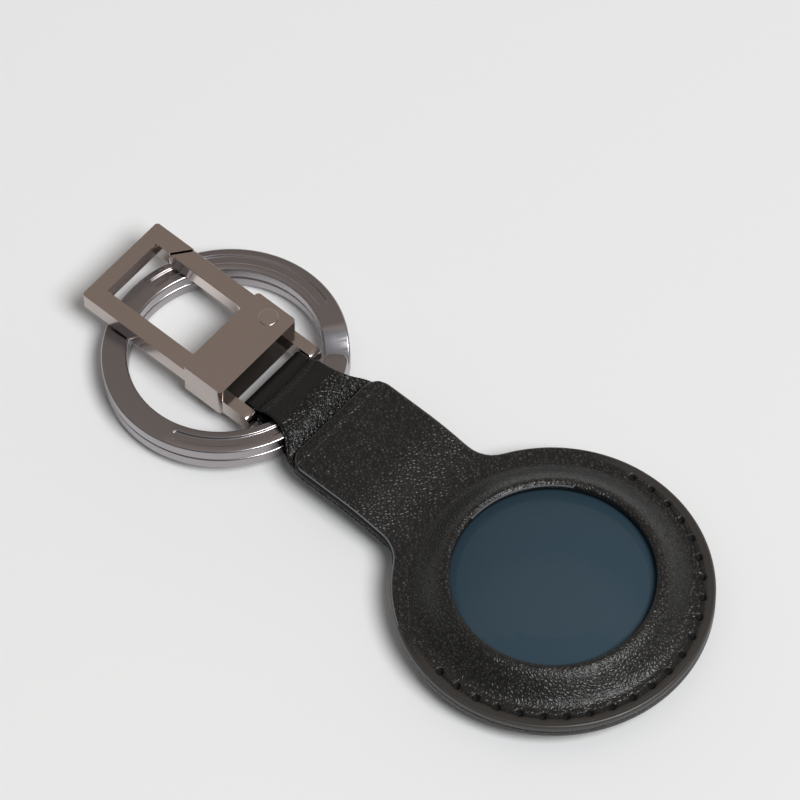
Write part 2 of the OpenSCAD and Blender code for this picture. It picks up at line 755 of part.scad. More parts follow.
module gate_spring() {
    r = spring_wire_d / 2;
    points = [for (i = [0 : spring_rings]) for (j = [0 : 5])
        spring_path[i] + r * [cos(60 * j) * cos(45 * i), sin(60 * j), cos(60 * j) * sin(45 * i)]];
    walls = [for (i = [0 : spring_rings - 1]) for (j = [0 : 5]) for (k = [0, 1])
        k == 0 ? [i * 6 + j, (i + 1) * 6 + j, i * 6 + (j + 1) % 6]
        : [i * 6 + (j + 1) % 6, (i + 1) * 6 + j, (i + 1) * 6 + (j + 1) % 6]];
    color("#b9bcc0")
    translate([spring_x, spring_y0, spring_z])
        polyhedron(points, concat(
            walls, [[for (j = [0 : 5]) j]], [[for (j = [5 : -1 : 0]) spring_rings * 6 + j]]));
}

// Points of the tag's domed face, from the waist to the middle, inset by t
function dome_points(t) = concat(
    arc([edge_x, waist_z], edge_r - t, 0, atan2(waist_z - dome_z, edge_x), edge_steps),
    arc([0, dome_z], dome_r - t, atan2(waist_z - dome_z, edge_x) + 2, 90, bend_steps));

// Face of the tag: the domed plastic shell seen in the window
module tag_face() {
    color("#2c3f4e")
    rotate_extrude($fn = round_fn)
        polygon(concat(dome_points(0), reversed(dome_points(shell_t))));
}

// Base of the tag: lower shell, battery well, tray and cover track
module tag_base() {
    outer = tag_d / 2 - shell_t - spigot_gap;
    under = tag_d / 2 - under_r;
    well = cell_d / 2 + cover_gap + cell_gap;
    track = cover_d / 2 + lug_out + cover_gap;
    low_z = waist_z - under_r;
    tray_r = sqrt(pow(dome_r - shell_t - spigot_gap, 2) - pow(floor_z - dome_z, 2));
    color("#d9dbdd")
    difference() {
        rotate_extrude($fn = round_fn)
            polygon(concat(
                [[0, tray_z], [well, tray_z], [well, track_top], [track, track_top], [track, lug_z - cover_gap],
                    [cover_d / 2 + cover_gap, lug_z - cover_gap], [cover_d / 2 + cover_gap, low_z]],
                arc([under, waist_z], under_r, -90, 0, bend_steps),
                [[outer, waist_z], [outer, waist_z + spigot_gap], [min(tray_r, outer), floor_z], [0, floor_z]]));
        for (i = lug_share)
            rotate([0, 0, 120 * i + unlock_turn])
                translate([0, 0, low_z - over])
                    lug_sector(lug_angle + 2, track, lug_z - cover_gap - low_z + 2 * over);
    }
}

// Part of a ring, from inside the cover's wall out to r, and as high as h
module lug_sector(a, r, h) {
    inner = cover_d / 2 - cover_t / 2;
    rotate([0, 0, -a / 2])
        rotate_extrude(angle = a, $fn = round_fn)
            translate([inner, 0])
                square([r - inner, h]);
}

// Steel battery cover, pressed from sheet, with three bayonet lugs
module battery_cover() {
    r = cover_d / 2;
    inner = cover_edge_r - cover_t;
    color("#c9cacb")
    union() {
        rotate_extrude($fn = round_fn)
            polygon(concat(
                [[0, tag_z]],
                arc([r - cover_edge_r, tag_z + cover_edge_r], cover_edge_r, -90, 0, edge_steps),
                [[r, tag_z + cover_wall_h], [r - cover_t, tag_z + cover_wall_h]],
                arc([r - cover_edge_r, tag_z + cover_edge_r], inner, 0, -90, edge_steps),
                [[0, tag_z + cover_t]]));
        for (i = lug_share)
            rotate([0, 0, 120 * i])
                translate([0, 0, lug_z])
                    lug_sector(lug_angle, r + lug_out, lug_t);
    }
}

// Coin cell, with its rounded can and its smaller pole towards the tray
module coin_cell() {
    r = cell_d / 2;
    color("#bfc1c3")
    translate([0, 0, cell_z])
        rotate_extrude($fn = round_fn)
            polygon([[0, 0], [r - cell_edge, 0], [r, cell_edge], [r, cell_t - 2 * cell_edge],
                [r - cell_edge, cell_t - cell_edge], [r - 4 * cell_edge, cell_t - cell_edge],
                [r - 5 * cell_edge, cell_t], [0, cell_t]]);
}

// Three leaf contacts between the cell and the tray
module battery_contacts() {
    color("#c8a24a")
    for (i = lug_share)
        rotate([0, 0, 120 * i + 30])
            translate([contact_place - contact_size[0] / 2, -contact_size[1] / 2, cell_z + cell_t])
                cube([contact_size[0], contact_size[1], contact_t]);
}

// Ring-shaped circuit board on the tray
module circuit_board() {
    color("#2f6b46")
    translate([0, 0, floor_z])
        difference() {
            cylinder(d = board_d, h = board_t, $fn = round_fn);
            translate([0, 0, -over])
                cylinder(d = board_hole_d, h = board_t + 2 * over, $fn = round_fn);
        }
}

// Magnet of the sounder, in the middle of the tray
module sounder_magnet() {
    color("#8d9094")
    translate([0, 0, floor_z])
        cylinder(d = magnet_d, h = magnet_h, $fn = round_fn);
}

// Voice coil of the sounder, under the face
module sounder_coil() {
    inner = magnet_d / 2 + coil_gap;
    color("#b06a35")
    translate([0, 0, floor_z + coil_lift])
        difference() {
            cylinder(r = inner + coil_wall, h = coil_h, $fn = round_fn);
            translate([0, 0, -over])
                cylinder(r = inner, h = coil_h + 2 * over, $fn = round_fn);
        }
}

leather_front();
back_pocket();
stitching();
strap();
split_ring();
hook_body();
gate_rivet();
gate_spring();
gate();
tag_face();
tag_base();
circuit_board();
sounder_magnet();
sounder_coil();
battery_contacts();
coin_cell();
battery_cover();
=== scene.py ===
import math

import bmesh
import bpy
import numpy as np
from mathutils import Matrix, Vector


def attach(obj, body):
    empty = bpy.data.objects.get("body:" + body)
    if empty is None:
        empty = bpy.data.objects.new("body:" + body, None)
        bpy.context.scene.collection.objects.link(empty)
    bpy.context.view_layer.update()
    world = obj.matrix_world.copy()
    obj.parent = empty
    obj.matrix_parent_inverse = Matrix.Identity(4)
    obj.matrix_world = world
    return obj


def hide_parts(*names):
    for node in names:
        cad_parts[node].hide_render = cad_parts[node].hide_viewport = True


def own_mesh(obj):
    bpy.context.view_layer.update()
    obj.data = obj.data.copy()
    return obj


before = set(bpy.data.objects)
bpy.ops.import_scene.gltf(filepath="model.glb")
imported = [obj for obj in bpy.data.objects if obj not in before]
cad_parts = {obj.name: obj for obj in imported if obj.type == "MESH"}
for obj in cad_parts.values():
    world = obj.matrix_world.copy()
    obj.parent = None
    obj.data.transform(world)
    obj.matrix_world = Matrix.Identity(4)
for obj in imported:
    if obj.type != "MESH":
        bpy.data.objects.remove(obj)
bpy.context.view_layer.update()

# Inner parts of the tag: circuit board, magnet, coil, contacts and coin cell.
# Glass-fibre board, plated magnet, lacquered copper, gilt spring leaves and a nickelled can.
# They are sandwiched between the tray and the cell, and seen only with the tag taken apart.
MM = 0.001


def add(tree, kind, inputs=None, **settings):
    """One shader node, with its sockets given as values or as other nodes' outputs."""
    node = tree.nodes.new(kind)
    for name, value in settings.items():
        setattr(node, name, value)
    for name, value in (inputs or {}).items():
        socket = node.inputs[name]
        if isinstance(value, bpy.types.NodeSocket):
            tree.links.new(value, socket)
        else:
            socket.default_value = value
    return node


def finish_of(name):
    """A new material and its emptied node tree, to be ended by one Principled shader."""
    material = bpy.data.materials.new(name)
    material.use_nodes = True
    material.node_tree.nodes.clear()
    return material, material.node_tree


def close_finish(tree, sockets):
    """The Principled shader that ends a material."""
    shader = add(tree, "ShaderNodeBsdfPrincipled", sockets)
    output = tree.nodes.new("ShaderNodeOutputMaterial")
    tree.links.new(shader.outputs["BSDF"], output.inputs["Surface"])


def group_of(name, inputs, outputs):
    """An empty shader node group with named number sockets."""
    tree = bpy.data.node_groups.new(name, "ShaderNodeTree")
    for label, value in inputs.items():
        socket = tree.interface.new_socket(label, in_out="INPUT", socket_type="NodeSocketFloat")
        socket.default_value = value
    for label in outputs:
        tree.interface.new_socket(label, in_out="OUTPUT", socket_type="NodeSocketFloat")
    return tree, tree.nodes.new("NodeGroupInput"), tree.nodes.new("NodeGroupOutput")


def reckoned(tree, operation, *values):
    """The result of one Math node."""
    return add(tree, "ShaderNodeMath", dict(enumerate(values)), operation=operation).outputs[0]


def speckle_group():
    """Fine grit and broad smears, for cast, plated and moulded surfaces."""
    sizes = {"Grit Size": 0.0002, "Smear Size": 0.006}
    tree, given, result = group_of("fine_speckle", sizes, ["Grit", "Smear"])
    place = add(tree, "ShaderNodeTexCoord").outputs["Object"]
    for label, detail in (("Grit", 3.0), ("Smear", 2.0)):
        scale = reckoned(tree, "DIVIDE", 1.0, given.outputs[label + " Size"])
        noise = add(tree, "ShaderNodeTexNoise", {"Vector": place, "Scale": scale, "Detail": detail})
        tree.links.new(noise.outputs["Fac"], result.inputs[label])
    return tree


speckle = speckle_group()


def blended(tree, share, low, high):
    """A colour that goes from low to high with a share; each is a colour or another node's output."""
    ends = [end if isinstance(end, bpy.types.NodeSocket) else (*end, 1.0) for end in (low, high)]
    mix = add(tree, "ShaderNodeMix", {"Factor": share, 6: ends[0], 7: ends[1]}, data_type="RGBA")
    return mix.outputs[2]


def ranged(tree, value, source, goal=(0.0, 1.0), **settings):
    """A number carried from one range to another."""
    return add(tree, "ShaderNodeMapRange", {"Value": value, "From Min": source[0], "From Max": source[1],
                                            "To Min": goal[0], "To Max": goal[1]}, **settings).outputs[0]


def raised(tree, height, distance, strength=1.0):
    """The normal of a surface with a fine relief."""
    bump = add(tree, "ShaderNodeBump", {"Height": height, "Strength": strength, "Distance": distance})
    return bump.outputs["Normal"]


def speckled(name, colour, worn, rough, metal=0.0, grit=0.0002, height=0.000004, **more):
    """A material whose colour and roughness vary with the speckle group."""
    material, tree = finish_of(name)
    fine = add(tree, "ShaderNodeGroup", node_tree=speckle)
    fine.inputs["Grit Size"].default_value = grit
    smear = fine.outputs["Smear"]
    close_finish(tree, {"Base Color": blended(tree, smear, colour, worn),
                        "Roughness": ranged(tree, smear, (0.0, 1.0), rough),
                        "Normal": raised(tree, fine.outputs["Grit"], height), "Metallic": metal, **more})
    return material


def dress(material, *names):
    """Puts a material on CAD nodes."""
    for name in names:
        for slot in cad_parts[name].material_slots:
            slot.material = material


dress(speckled("board_green", (0.02, 0.11, 0.05), (0.03, 0.15, 0.07), (0.35, 0.5)), "circuit_board")
dress(speckled("magnet_nickel", (0.62, 0.61, 0.58), (0.5, 0.49, 0.47), (0.2, 0.35), 1.0), "sounder_magnet")
dress(speckled("coil_copper", (0.62, 0.26, 0.11), (0.5, 0.2, 0.08), (0.25, 0.4), 1.0), "sounder_coil")
dress(speckled("contact_gilt", (0.78, 0.58, 0.28), (0.7, 0.5, 0.24), (0.2, 0.3), 1.0), "battery_contacts")
dress(speckled("cell_nickel", (0.66, 0.65, 0.63), (0.55, 0.54, 0.52), (0.18, 0.32), 1.0), "coin_cell")

# Shell of the tag: domed face, lower shell with its tray, and the twist-off battery cover.
# Moulded plastic, glossy slate blue on the face and pale below, and pressed steel for the cover.
# The face snaps over the lower shell, and three lugs hold the cover.
def face_material():
    """Glossy slate-blue plastic with a faint unevenness."""
    material, tree = finish_of("tag_face_gloss")
    fine = add(tree, "ShaderNodeGroup", node_tree=speckle)
    fine.inputs["Grit Size"].default_value = 0.0016
    fine.inputs["Smear Size"].default_value = 0.02
    slate = blended(tree, fine.outputs["Smear"], (0.030, 0.056, 0.077), (0.033, 0.060, 0.081))
    close_finish(tree, {"Base Color": slate, "Roughness": 0.1, "Specular IOR Level": 0.35,
                        "Normal": raised(tree, fine.outputs["Grit"], 0.000003)})
    return material


dress(face_material(), "tag_face")
dress(speckled("shell_plastic", (0.56, 0.57, 0.58), (0.62, 0.63, 0.64), (0.3, 0.42)), "tag_base")
dress(speckled("cover_steel", (0.6, 0.6, 0.6), (0.52, 0.52, 0.52), (0.12, 0.3), 1.0), "battery_cover")

# Front leather: one piece with the window, the moulded bulge, the flat rim and the neck.
# Black pebbled calf about 1.25 mm thick, wet-moulded over a form, with painted and polished edges.
# It is sewn to the back leather round the outer half of the disc.
DISC_R = 22.5
LEATHER_T = 1.25
SEAM_Z = 4.25
RIM_TOP = 5.5
CREST_Z = 8.75
CREST_R = 15.4
BULGE_BEND = 2.2
SHOULDER_R = 14.8
WINDOW_R = 14.3
RIM_FLAT_R = 19.9
STITCH_R = 20.7
STITCH_HOLES = 23
STITCH_SPAN = 196.3
NECK_HALF = 9.45
NECK_LEN = 40.7
NECK_CORNER = 2.8
NECK_FILLET = 5.0
NECK_LIFT = 1.1
RAMP_START = 19.5
RAMP_END = 31.0
EDGE_ROUND = 0.42
EDGE_UNDER = 0.2
EDGE_SINK = 0.06
SKIVE = 0.45
SKIVE_RUN = 2.2
LIP_R = 0.4
LIP_DROP = 0.12
RIDGE_INSET = 1.4
RIDGE_W = 0.32
RIDGE_H = 0.14
UNEVEN = 0.05
UNEVEN_SPAN = 9.0
UNEVEN_SEED = 3
GROOVE_DEPTH = 0.07
DIMPLE_DEPTH = 0.1
HOLE_DEPTH = 0.62
HOLE_R = 0.32
PRESSED_FROM = 0.25
PRESSED_TO = 0.7
# The next two spans say where the painted highlight lies: turns round the window's lip, and places along the
# neck's left edge.
LIP_HIGHLIGHT_SPAN = (29, 92)
EDGE_HIGHLIGHT_SPAN = (12.0, 38.5)
NECK_FROM = 19.0
LIP_BAND, WALL_BAND, EDGE_BAND = 1, 2, 3


def bend(start, end, radius, offset, count=12):
    """S-curve of two arcs between two level tangents, offset sideways, as in a folded sheet."""
    way = 1 if end[1] > start[1] else -1
    run, rise = end[0] - start[0], abs(end[1] - start[1])
    r = min(radius, (run * run + rise * rise) / (4 * rise))
    turn = math.atan2(rise - 2 * r, run) + math.asin(min(1.0, 2 * r / math.hypot(run, rise - 2 * r)))
    shares = np.linspace(0, turn, count + 1)
    inner, outer = r - way * offset, r + way * offset
    first = [(start[0] + inner * math.sin(a), start[1] + way * (r - inner * math.cos(a))) for a in shares]
    last = [(end[0] - outer * math.sin(a), end[1] - way * (r - outer * math.cos(a))) for a in shares[::-1]]
    return first + last


def lifted(y):
    """Height that the neck has risen over the rim at a place along it."""
    curve = np.array(bend((RAMP_START, 0.0), (RAMP_END, NECK_LIFT), 99.0, 0.0))
    return np.interp(y, curve[:, 0], curve[:, 1])


def smooth(x, low, high):
    """0 below low, 1 above high, with a soft step between."""
    t = np.clip((np.asarray(x, float) - low) / (high - low), 0, 1)
    return t * t * (3 - 2 * t)


def wave(x, y, seed, size):
    """Gentle seeded unevenness over a plan, between about -1 and 1."""
    rng = np.random.default_rng(seed)
    total = np.zeros_like(np.asarray(x, float) + np.asarray(y, float))
    for _ in range(6):
        angle, phase = rng.uniform(0, math.tau), rng.uniform(0, math.tau)
        length = size * rng.uniform(0.6, 1.6)
        total = total + np.sin((x * math.cos(angle) + y * math.sin(angle)) * math.tau / length + phase)
    return total / 6


def outline():
    """Plan of the front leather: points, outward directions, and each point's angle on the disc."""
    points, normals, angles = [], [], []
    across = NECK_HALF + NECK_FILLET
    fillet = np.array([across, math.sqrt((DISC_R + NECK_FILLET) ** 2 - across ** 2)])
    tangent = math.degrees(math.atan2(fillet[1], fillet[0]))
    fine, coarse = 0.16, 0.36

    def put(point, normal):
        points.append(point)
        normals.append(normal)

    edge = -90.0
    while edge < tangent:
        way = np.array([math.cos(math.radians(edge)), math.sin(math.radians(edge))])
        put(DISC_R * way, way)
        angles.append(edge)
        edge += math.degrees((fine if edge < -90 + STITCH_SPAN / 2 + 3 else coarse) / DISC_R)
    neck_from = len(points)
    for a in np.linspace(tangent + 180, 180, 7)[:-1]:
        way = np.array([math.cos(math.radians(a)), math.sin(math.radians(a))])
        put(fillet + NECK_FILLET * way, -way)
    for y in np.arange(fillet[1], NECK_LEN - NECK_CORNER, 0.4):
        put(np.array([NECK_HALF, y]), np.array([1.0, 0.0]))
    corner = np.array([NECK_HALF - NECK_CORNER, NECK_LEN - NECK_CORNER])
    for a in np.linspace(0, 90, 19)[:-1]:
        way = np.array([math.cos(math.radians(a)), math.sin(math.radians(a))])
        put(corner + NECK_CORNER * way, way)
    for x in np.linspace(corner[0], 0, 19):
        put(np.array([x, NECK_LEN]), np.array([0.0, 1.0]))
    half = len(points)
    steps = np.linalg.norm(np.diff(np.array(points[neck_from:]), axis=0), axis=1)
    length = np.concatenate([[0], np.cumsum(steps)])
    angles += list(tangent + (90 - tangent) * length / length[-1])
    for i in range(half - 2, 0, -1):
        points.append(points[i] * [-1, 1])
        normals.append(normals[i] * [-1, 1])
        angles.append(180 - angles[i])
    return np.array(points), np.array(normals), np.array(angles)


def sunk(x, y):
    """Depth of the stitch groove and its holes below a flat rim."""
    r = np.hypot(x, y)
    turn = np.degrees(np.arctan2(-x, -y))
    inside = 1 - smooth(np.abs(turn), STITCH_SPAN / 2, STITCH_SPAN / 2 + 2.5)
    groove = GROOVE_DEPTH * (1 - smooth(np.abs(r - STITCH_R), 0.12, 0.62)) * inside
    step = STITCH_SPAN / (STITCH_HOLES - 1)
    near = np.round((turn + STITCH_SPAN / 2) / step) * step - STITCH_SPAN / 2
    near = np.clip(near, -STITCH_SPAN / 2, STITCH_SPAN / 2)
    hx, hy = -STITCH_R * np.sin(np.radians(near)), -STITCH_R * np.cos(np.radians(near))
    reach = np.hypot(x - hx, y - hy)
    dimple = DIMPLE_DEPTH * (1 - smooth(reach, 0.4, 0.9))
    return groove + dimple + HOLE_DEPTH * (1 - smooth(reach, HOLE_R, 0.55))


def skin(name, rows, wrap_rows, wrap_columns, capped=False, bands=()):
    """A smooth quad mesh from rows of points in millimetres.

    A band gives the faces between two rows a material index.
    """
    rows = np.array(rows, float)
    m, n = rows.shape[:2]
    faces = []
    for i in range(m if wrap_rows else m - 1):
        for j in range(n if wrap_columns else n - 1):
            a, b = i, (i + 1) % m
            c, d = j, (j + 1) % n
            faces.append((a * n + c, a * n + d, b * n + d, b * n + c))
    if capped:
        faces.append(tuple(range(n))[::-1])
        faces.append(tuple((m - 1) * n + j for j in range(n)))
    mesh = bpy.data.meshes.new(name)
    mesh.from_pydata((rows.reshape(-1, 3) * MM).tolist(), [], faces)
    work = bmesh.new()
    work.from_mesh(mesh)
    bmesh.ops.recalc_face_normals(work, faces=work.faces)
    work.to_mesh(mesh)
    work.free()
    mesh.polygons.foreach_set("use_smooth", [True] * len(mesh.polygons))
    across = n if wrap_columns else n - 1
    for first, last, index in bands:
        for k in range(first * across, last * across):
            mesh.polygons[k].material_index = index
    piece = bpy.data.objects.new(name, mesh)
    bpy.context.scene.collection.objects.link(piece)
    return piece


def front_rows():
    """Loops of the front leather, from the window's wall over the top, round the edge and back underneath."""
    points, normals, angles = outline()
    ways = np.stack([np.cos(np.radians(angles)), np.sin(np.radians(angles))], 1)
    rows = []

    def circle(r, z):
        rows.append(np.column_stack([ways * r, np.full(len(ways), z)]))

    def floor_of(plan):
        return SEAM_Z + lifted(plan[:, 1]) + SKIVE * smooth(plan[:, 1], NECK_LEN - SKIVE_RUN, NECK_LEN)

    for z in (CREST_Z - LEATHER_T + 0.1, CREST_Z - LEATHER_T + 0.35):
        circle(WINDOW_R, z)
    bands = [(len(rows), len(rows) + 3, LIP_BAND)]
    for a in np.linspace(180, 90, 7):
        circle(WINDOW_R + LIP_R + LIP_R * math.cos(math.radians(a)),
               CREST_Z - LIP_DROP - LIP_R + LIP_R * math.sin(math.radians(a)))
    for share in np.linspace(0, 1, 25):
        circle(SHOULDER_R + (RIM_FLAT_R - SHOULDER_R) * share,
               CREST_Z - (CREST_Z - RIM_TOP) * smooth(share, 0, 1))
    start = ways * RIM_FLAT_R
    goal = points - normals * EDGE_ROUND
    fine = np.concatenate([np.linspace(0, 0.86, 20)[1:], np.linspace(0.86, 1, 9)[1:]])
    for share in fine:
        plan = start + (goal - start) * share
        inset = np.linalg.norm(goal - plan, axis=1)
        level = RIM_TOP - sunk(plan[:, 0], plan[:, 1]) + lifted(plan[:, 1])
        level += UNEVEN * wave(plan[:, 0], plan[:, 1], UNEVEN_SEED, UNEVEN_SPAN) * smooth(plan[:, 1], 20, 24)
        end_gap = NECK_LEN - plan[:, 1]
        level += RIDGE_H * np.exp(-((end_gap - RIDGE_INSET) / RIDGE_W) ** 2) * smooth(plan[:, 1], 30, 36)
        level -= EDGE_SINK * (1 - smooth(inset, 0.0, 0.5))
        rows.append(np.column_stack([plan, level]))
    last = rows[-1][:, 2]
    bands += [(len(rows), len(rows) + 2, EDGE_BAND), (len(rows) + 2, len(rows) + 10, WALL_BAND)]
    for a in np.linspace(0, 90, 7)[1:]:
        out = EDGE_ROUND * math.sin(math.radians(a))
        down = EDGE_ROUND * (1 - math.cos(math.radians(a)))
        rows.append(np.column_stack([goal + normals * out, last - down]))
    for a in np.linspace(90, 0, 5):
        out = EDGE_UNDER * math.sin(math.radians(a))
        plan = points - normals * EDGE_UNDER + normals * out
        rows.append(np.column_stack([plan, floor_of(plan) + EDGE_UNDER * (1 - math.cos(math.radians(a)))]))
    goal = points - normals * EDGE_UNDER
    for share in np.linspace(1, 0, 24)[1:]:
        plan = start + (goal - start) * share
        rows.append(np.column_stack([plan, floor_of(plan)]))
    crest, rim = (CREST_R, CREST_Z - LEATHER_T / 2), (RIM_FLAT_R, RIM_TOP - LEATHER_T / 2)
    for r, z in bend(crest, rim, BULGE_BEND, -LEATHER_T / 2, 8)[::-1]:
        circle(r, z)
    circle(WINDOW_R + 0.18, CREST_Z - LEATHER_T - 0.06)
    return rows, bands


def grain_group():
    """Pebbled leather grain: rounded cells of one size with fine creases between them."""
    tree, given, result = group_of("leather_grain", {"Cell": 0.0004}, ["Height", "Crease", "Patch"])
    place = add(tree, "ShaderNodeTexCoord").outputs["Object"]
    drift = add(tree, "ShaderNodeTexNoise", {"Vector": place, "Scale": 900.0, "Detail": 1.0})
    push = add(tree, "ShaderNodeVectorMath", {0: drift.outputs["Color"], "Scale": 0.00035}, operation="SCALE")
    moved = add(tree, "ShaderNodeVectorMath", {0: place, 1: push.outputs[0]}, operation="ADD")
    scale = reckoned(tree, "DIVIDE", 1.0, given.outputs["Cell"])
    cells = add(tree, "ShaderNodeTexVoronoi", {"Vector": moved.outputs[0], "Scale": scale},
                feature="DISTANCE_TO_EDGE")
    dome = ranged(tree, cells.outputs["Distance"], (0.0, 0.45), interpolation_type="SMOOTHSTEP")
    broad = add(tree, "ShaderNodeTexNoise", {"Vector": place, "Scale": 140.0, "Detail": 3.0})
    fine = add(tree, "ShaderNodeTexNoise", {"Vector": place, "Scale": 4200.0, "Detail": 2.0})
    height = reckoned(tree, "MULTIPLY_ADD", fine.outputs["Fac"], 0.8, dome)
    tree.links.new(height, result.inputs["Height"])
    tree.links.new(reckoned(tree, "SUBTRACT", 1.0, dome), result.inputs["Crease"])
    tree.links.new(broad.outputs["Fac"], result.inputs["Patch"])
    return tree


grain = grain_group()


def leather(name, top, crease_shade, bare=(0.031, 0.028, 0.0252), cell=0.00052, height=0.000056,
            rough=(0.29, 0.38), specular=0.45):
    """Pebbled leather, uneven in its gloss, with painted shade in its creases and a lighter tone on its
    pebbles.

    The attribute flat_share presses its grain flat, and a second attribute paints the stitch holes black, as
    painted shade, and makes them dull.
    """
    material, tree = finish_of(name)
    pebble = add(tree, "ShaderNodeGroup", node_tree=grain)
    pebble.inputs["Cell"].default_value = cell
    pressed = add(tree, "ShaderNodeAttribute", attribute_name="flat_share").outputs["Fac"]
    hole_shade = add(tree, "ShaderNodeAttribute", attribute_name="hole_shade_share").outputs["Fac"]
    # Painted shade darkens the grain's creases, and the pebble tops are lighter, partly the grain's own tone
    # and partly a painted highlight.
    tint = blended(tree, pebble.outputs["Crease"], top, crease_shade)
    dyed = blended(tree, pressed, tint, bare)
    # Painted shade: the marked stitch holes are made near black.
    black = blended(tree, hole_shade, dyed, (0.002, 0.002, 0.002))
    rub = ranged(tree, pebble.outputs["Patch"], (0.3, 0.7), rough)
    dull = reckoned(tree, "MULTIPLY_ADD", hole_shade, 0.6, rub)
    relief = ranged(tree, pressed, (0.0, 1.0), (1.0, 0.3))
    close_finish(tree, {"Base Color": black, "Roughness": dull, "Specular IOR Level": specular,
                        "Normal": raised(tree, pebble.outputs["Height"], height, relief)})
    return material


def marked(piece, label, shares):
    """Gives each point of a mesh a share that its material reads."""
    piece.data.attributes.new(label, "FLOAT", "POINT").data.foreach_set("value", shares)


front_loops, front_bands = front_rows()
front = skin("front_leather", front_loops, True, True, bands=front_bands)
front.data.materials.append(leather("black_calf", (0.0285, 0.0265, 0.0243), (0.006, 0.0055, 0.005)))
# The second material is a painted highlight: a light bluish grey on the edge's rounding along the neck's left
# side and on the window's lip at its far side.
front.data.materials.append(speckled("edge_painted_highlight", (0.165, 0.172, 0.185), (0.1, 0.105, 0.113), (0.3, 0.4)))
front.data.materials.append(speckled("edge_paint", (0.05, 0.046, 0.043), (0.036, 0.033, 0.031), (0.34, 0.46),
                                     grit=0.0004, height=0.00001))
# The fourth material is the neck's edge paint darkened further, as painted shade standing for the shaded
# groove between the panel and the strap.
front.data.materials.append(speckled("neck_edge_painted_shade", (0.009, 0.0078, 0.007), (0.006, 0.0052, 0.0047), (0.5, 0.62),
                                     grit=0.0004, height=0.00001, **{"Specular IOR Level": 0.12}))
CALF, HIGHLIGHT_LINE, PAINT, NECK_WALL_SHADE = range(4)
# Edge faces on the neck's left side and lip faces on the window's far side take the painted highlight; other
# edge faces take edge paint, other lip faces the calf.
for face in front.data.polygons:
    x, y = face.center.x / MM, face.center.y / MM
    if face.material_index == EDGE_BAND:
        face.material_index = HIGHLIGHT_LINE if x < 0 and EDGE_HIGHLIGHT_SPAN[0] < y < EDGE_HIGHLIGHT_SPAN[1] else PAINT
    # Edge paint along the neck takes the darkened edge paint, the painted shade of its groove.
    elif face.material_index == PAINT and y > NECK_FROM:
        face.material_index = NECK_WALL_SHADE
    elif face.material_index == HIGHLIGHT_LINE:
        turn = math.degrees(math.atan2(y, x))
        face.material_index = HIGHLIGHT_LINE if LIP_HIGHLIGHT_SPAN[0] < turn < LIP_HIGHLIGHT_SPAN[1] else CALF
places = np.array([v.co for v in front.data.vertices]) / MM
reach = np.hypot(places[:, 0], places[:, 1])
marked(front, "flat_share", smooth(reach, STITCH_R + PRESSED_FROM, STITCH_R + PRESSED_TO)
       * (1 - smooth(places[:, 1], 4.0, 12.0)))
# Painted shade: the stitch holes and their dimples on the rim are marked to be made near black.
marked(front, "hole_shade_share", smooth(sunk(places[:, 0], places[:, 1]), 0.15, 0.35)
       * (places[:, 2] > RIM_TOP - 1.2) * (reach > RIM_FLAT_R))
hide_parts("leather_front")
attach(front, "holder")

# Back leather: a half moon with a shallow moulded pocket that the tag slides into.
# The same black calf, with its straight mouth towards the neck.
# Sewn to the front leather along its round edge, with the two edges painted together.
POCKET_RISE = 3.0
POCKET_FLAT_R = 12.2
POCKET_BEND = 5.4
MOUTH_Y = 4.43
SEAM_ROUND = 0.12
BACK_ROUND = 0.35


def pocket_heights(offset):
    """Radius and height along the pocket's section, from the middle to the edge."""
    flat, rim = (POCKET_FLAT_R, LEATHER_T / 2), (RIM_FLAT_R, SEAM_Z - LEATHER_T / 2)
    curve = bend(flat, rim, POCKET_BEND, offset, 16)
    curve = [(0.0, curve[0][1])] + curve + [(DISC_R + 1, curve[-1][1])]
    return np.array(curve)


def pocket_piece():
    """The half moon, from its inner face over the sewn edge to its outer face, closed along the mouth."""
    mouth = np.array([0.0, MOUTH_Y])
    span = math.degrees(math.asin(MOUTH_Y / DISC_R))
    edge = np.radians(np.linspace(180 - span, 360 + span, 421))
    shares = np.concatenate([np.linspace(0.02, 0.85, 46), np.linspace(0.85, 1, 22)[1:]])
    rows = []

    def surface(offset, sink, inset, order):
        curve = pocket_heights(offset)
        rim = (DISC_R - inset) * np.stack([np.cos(edge), np.sin(edge)], 1)
        rim[0, 1] = rim[-1, 1] = MOUTH_Y
        for share in order:
            plan = mouth + (rim - mouth) * share
            level = np.interp(np.hypot(plan[:, 0], plan[:, 1]), curve[:, 0], curve[:, 1])
            if sink:
                level = level + sunk(plan[:, 0], plan[:, 1])
            rows.append(np.column_stack([plan, level]))

    def corner(a, rounding, level, way):
        r = DISC_R - rounding + rounding * math.sin(math.radians(a))
        height = level + way * rounding * (1 - math.cos(math.radians(a)))
        rows.append(np.column_stack([r * np.cos(edge), r * np.sin(edge), np.full(len(edge), height)]))

    surface(LEATHER_T / 2, False, SEAM_ROUND, shares)
    for a in np.linspace(0, 90, 4)[1:]:
        corner(a, SEAM_ROUND, SEAM_Z, -1)
    for a in np.linspace(90, 0, 6):
        corner(a, BACK_ROUND, POCKET_RISE, 1)
    surface(-LEATHER_T / 2, True, BACK_ROUND, shares[::-1][1:])
    piece = skin("back_leather", rows, True, False)
    work = bmesh.new()
    work.from_mesh(piece.data)
    bmesh.ops.holes_fill(work, edges=[e for e in work.edges if e.is_boundary], sides=0)
    bmesh.ops.recalc_face_normals(work, faces=work.faces)
    work.to_mesh(piece.data)
    work.free()
    return piece


pocket = pocket_piece()
pocket.data.materials.append(leather("black_calf_back", (0.0285, 0.0265, 0.0243), (0.006, 0.0055, 0.005)))
places = np.array([v.co for v in pocket.data.vertices]) / MM
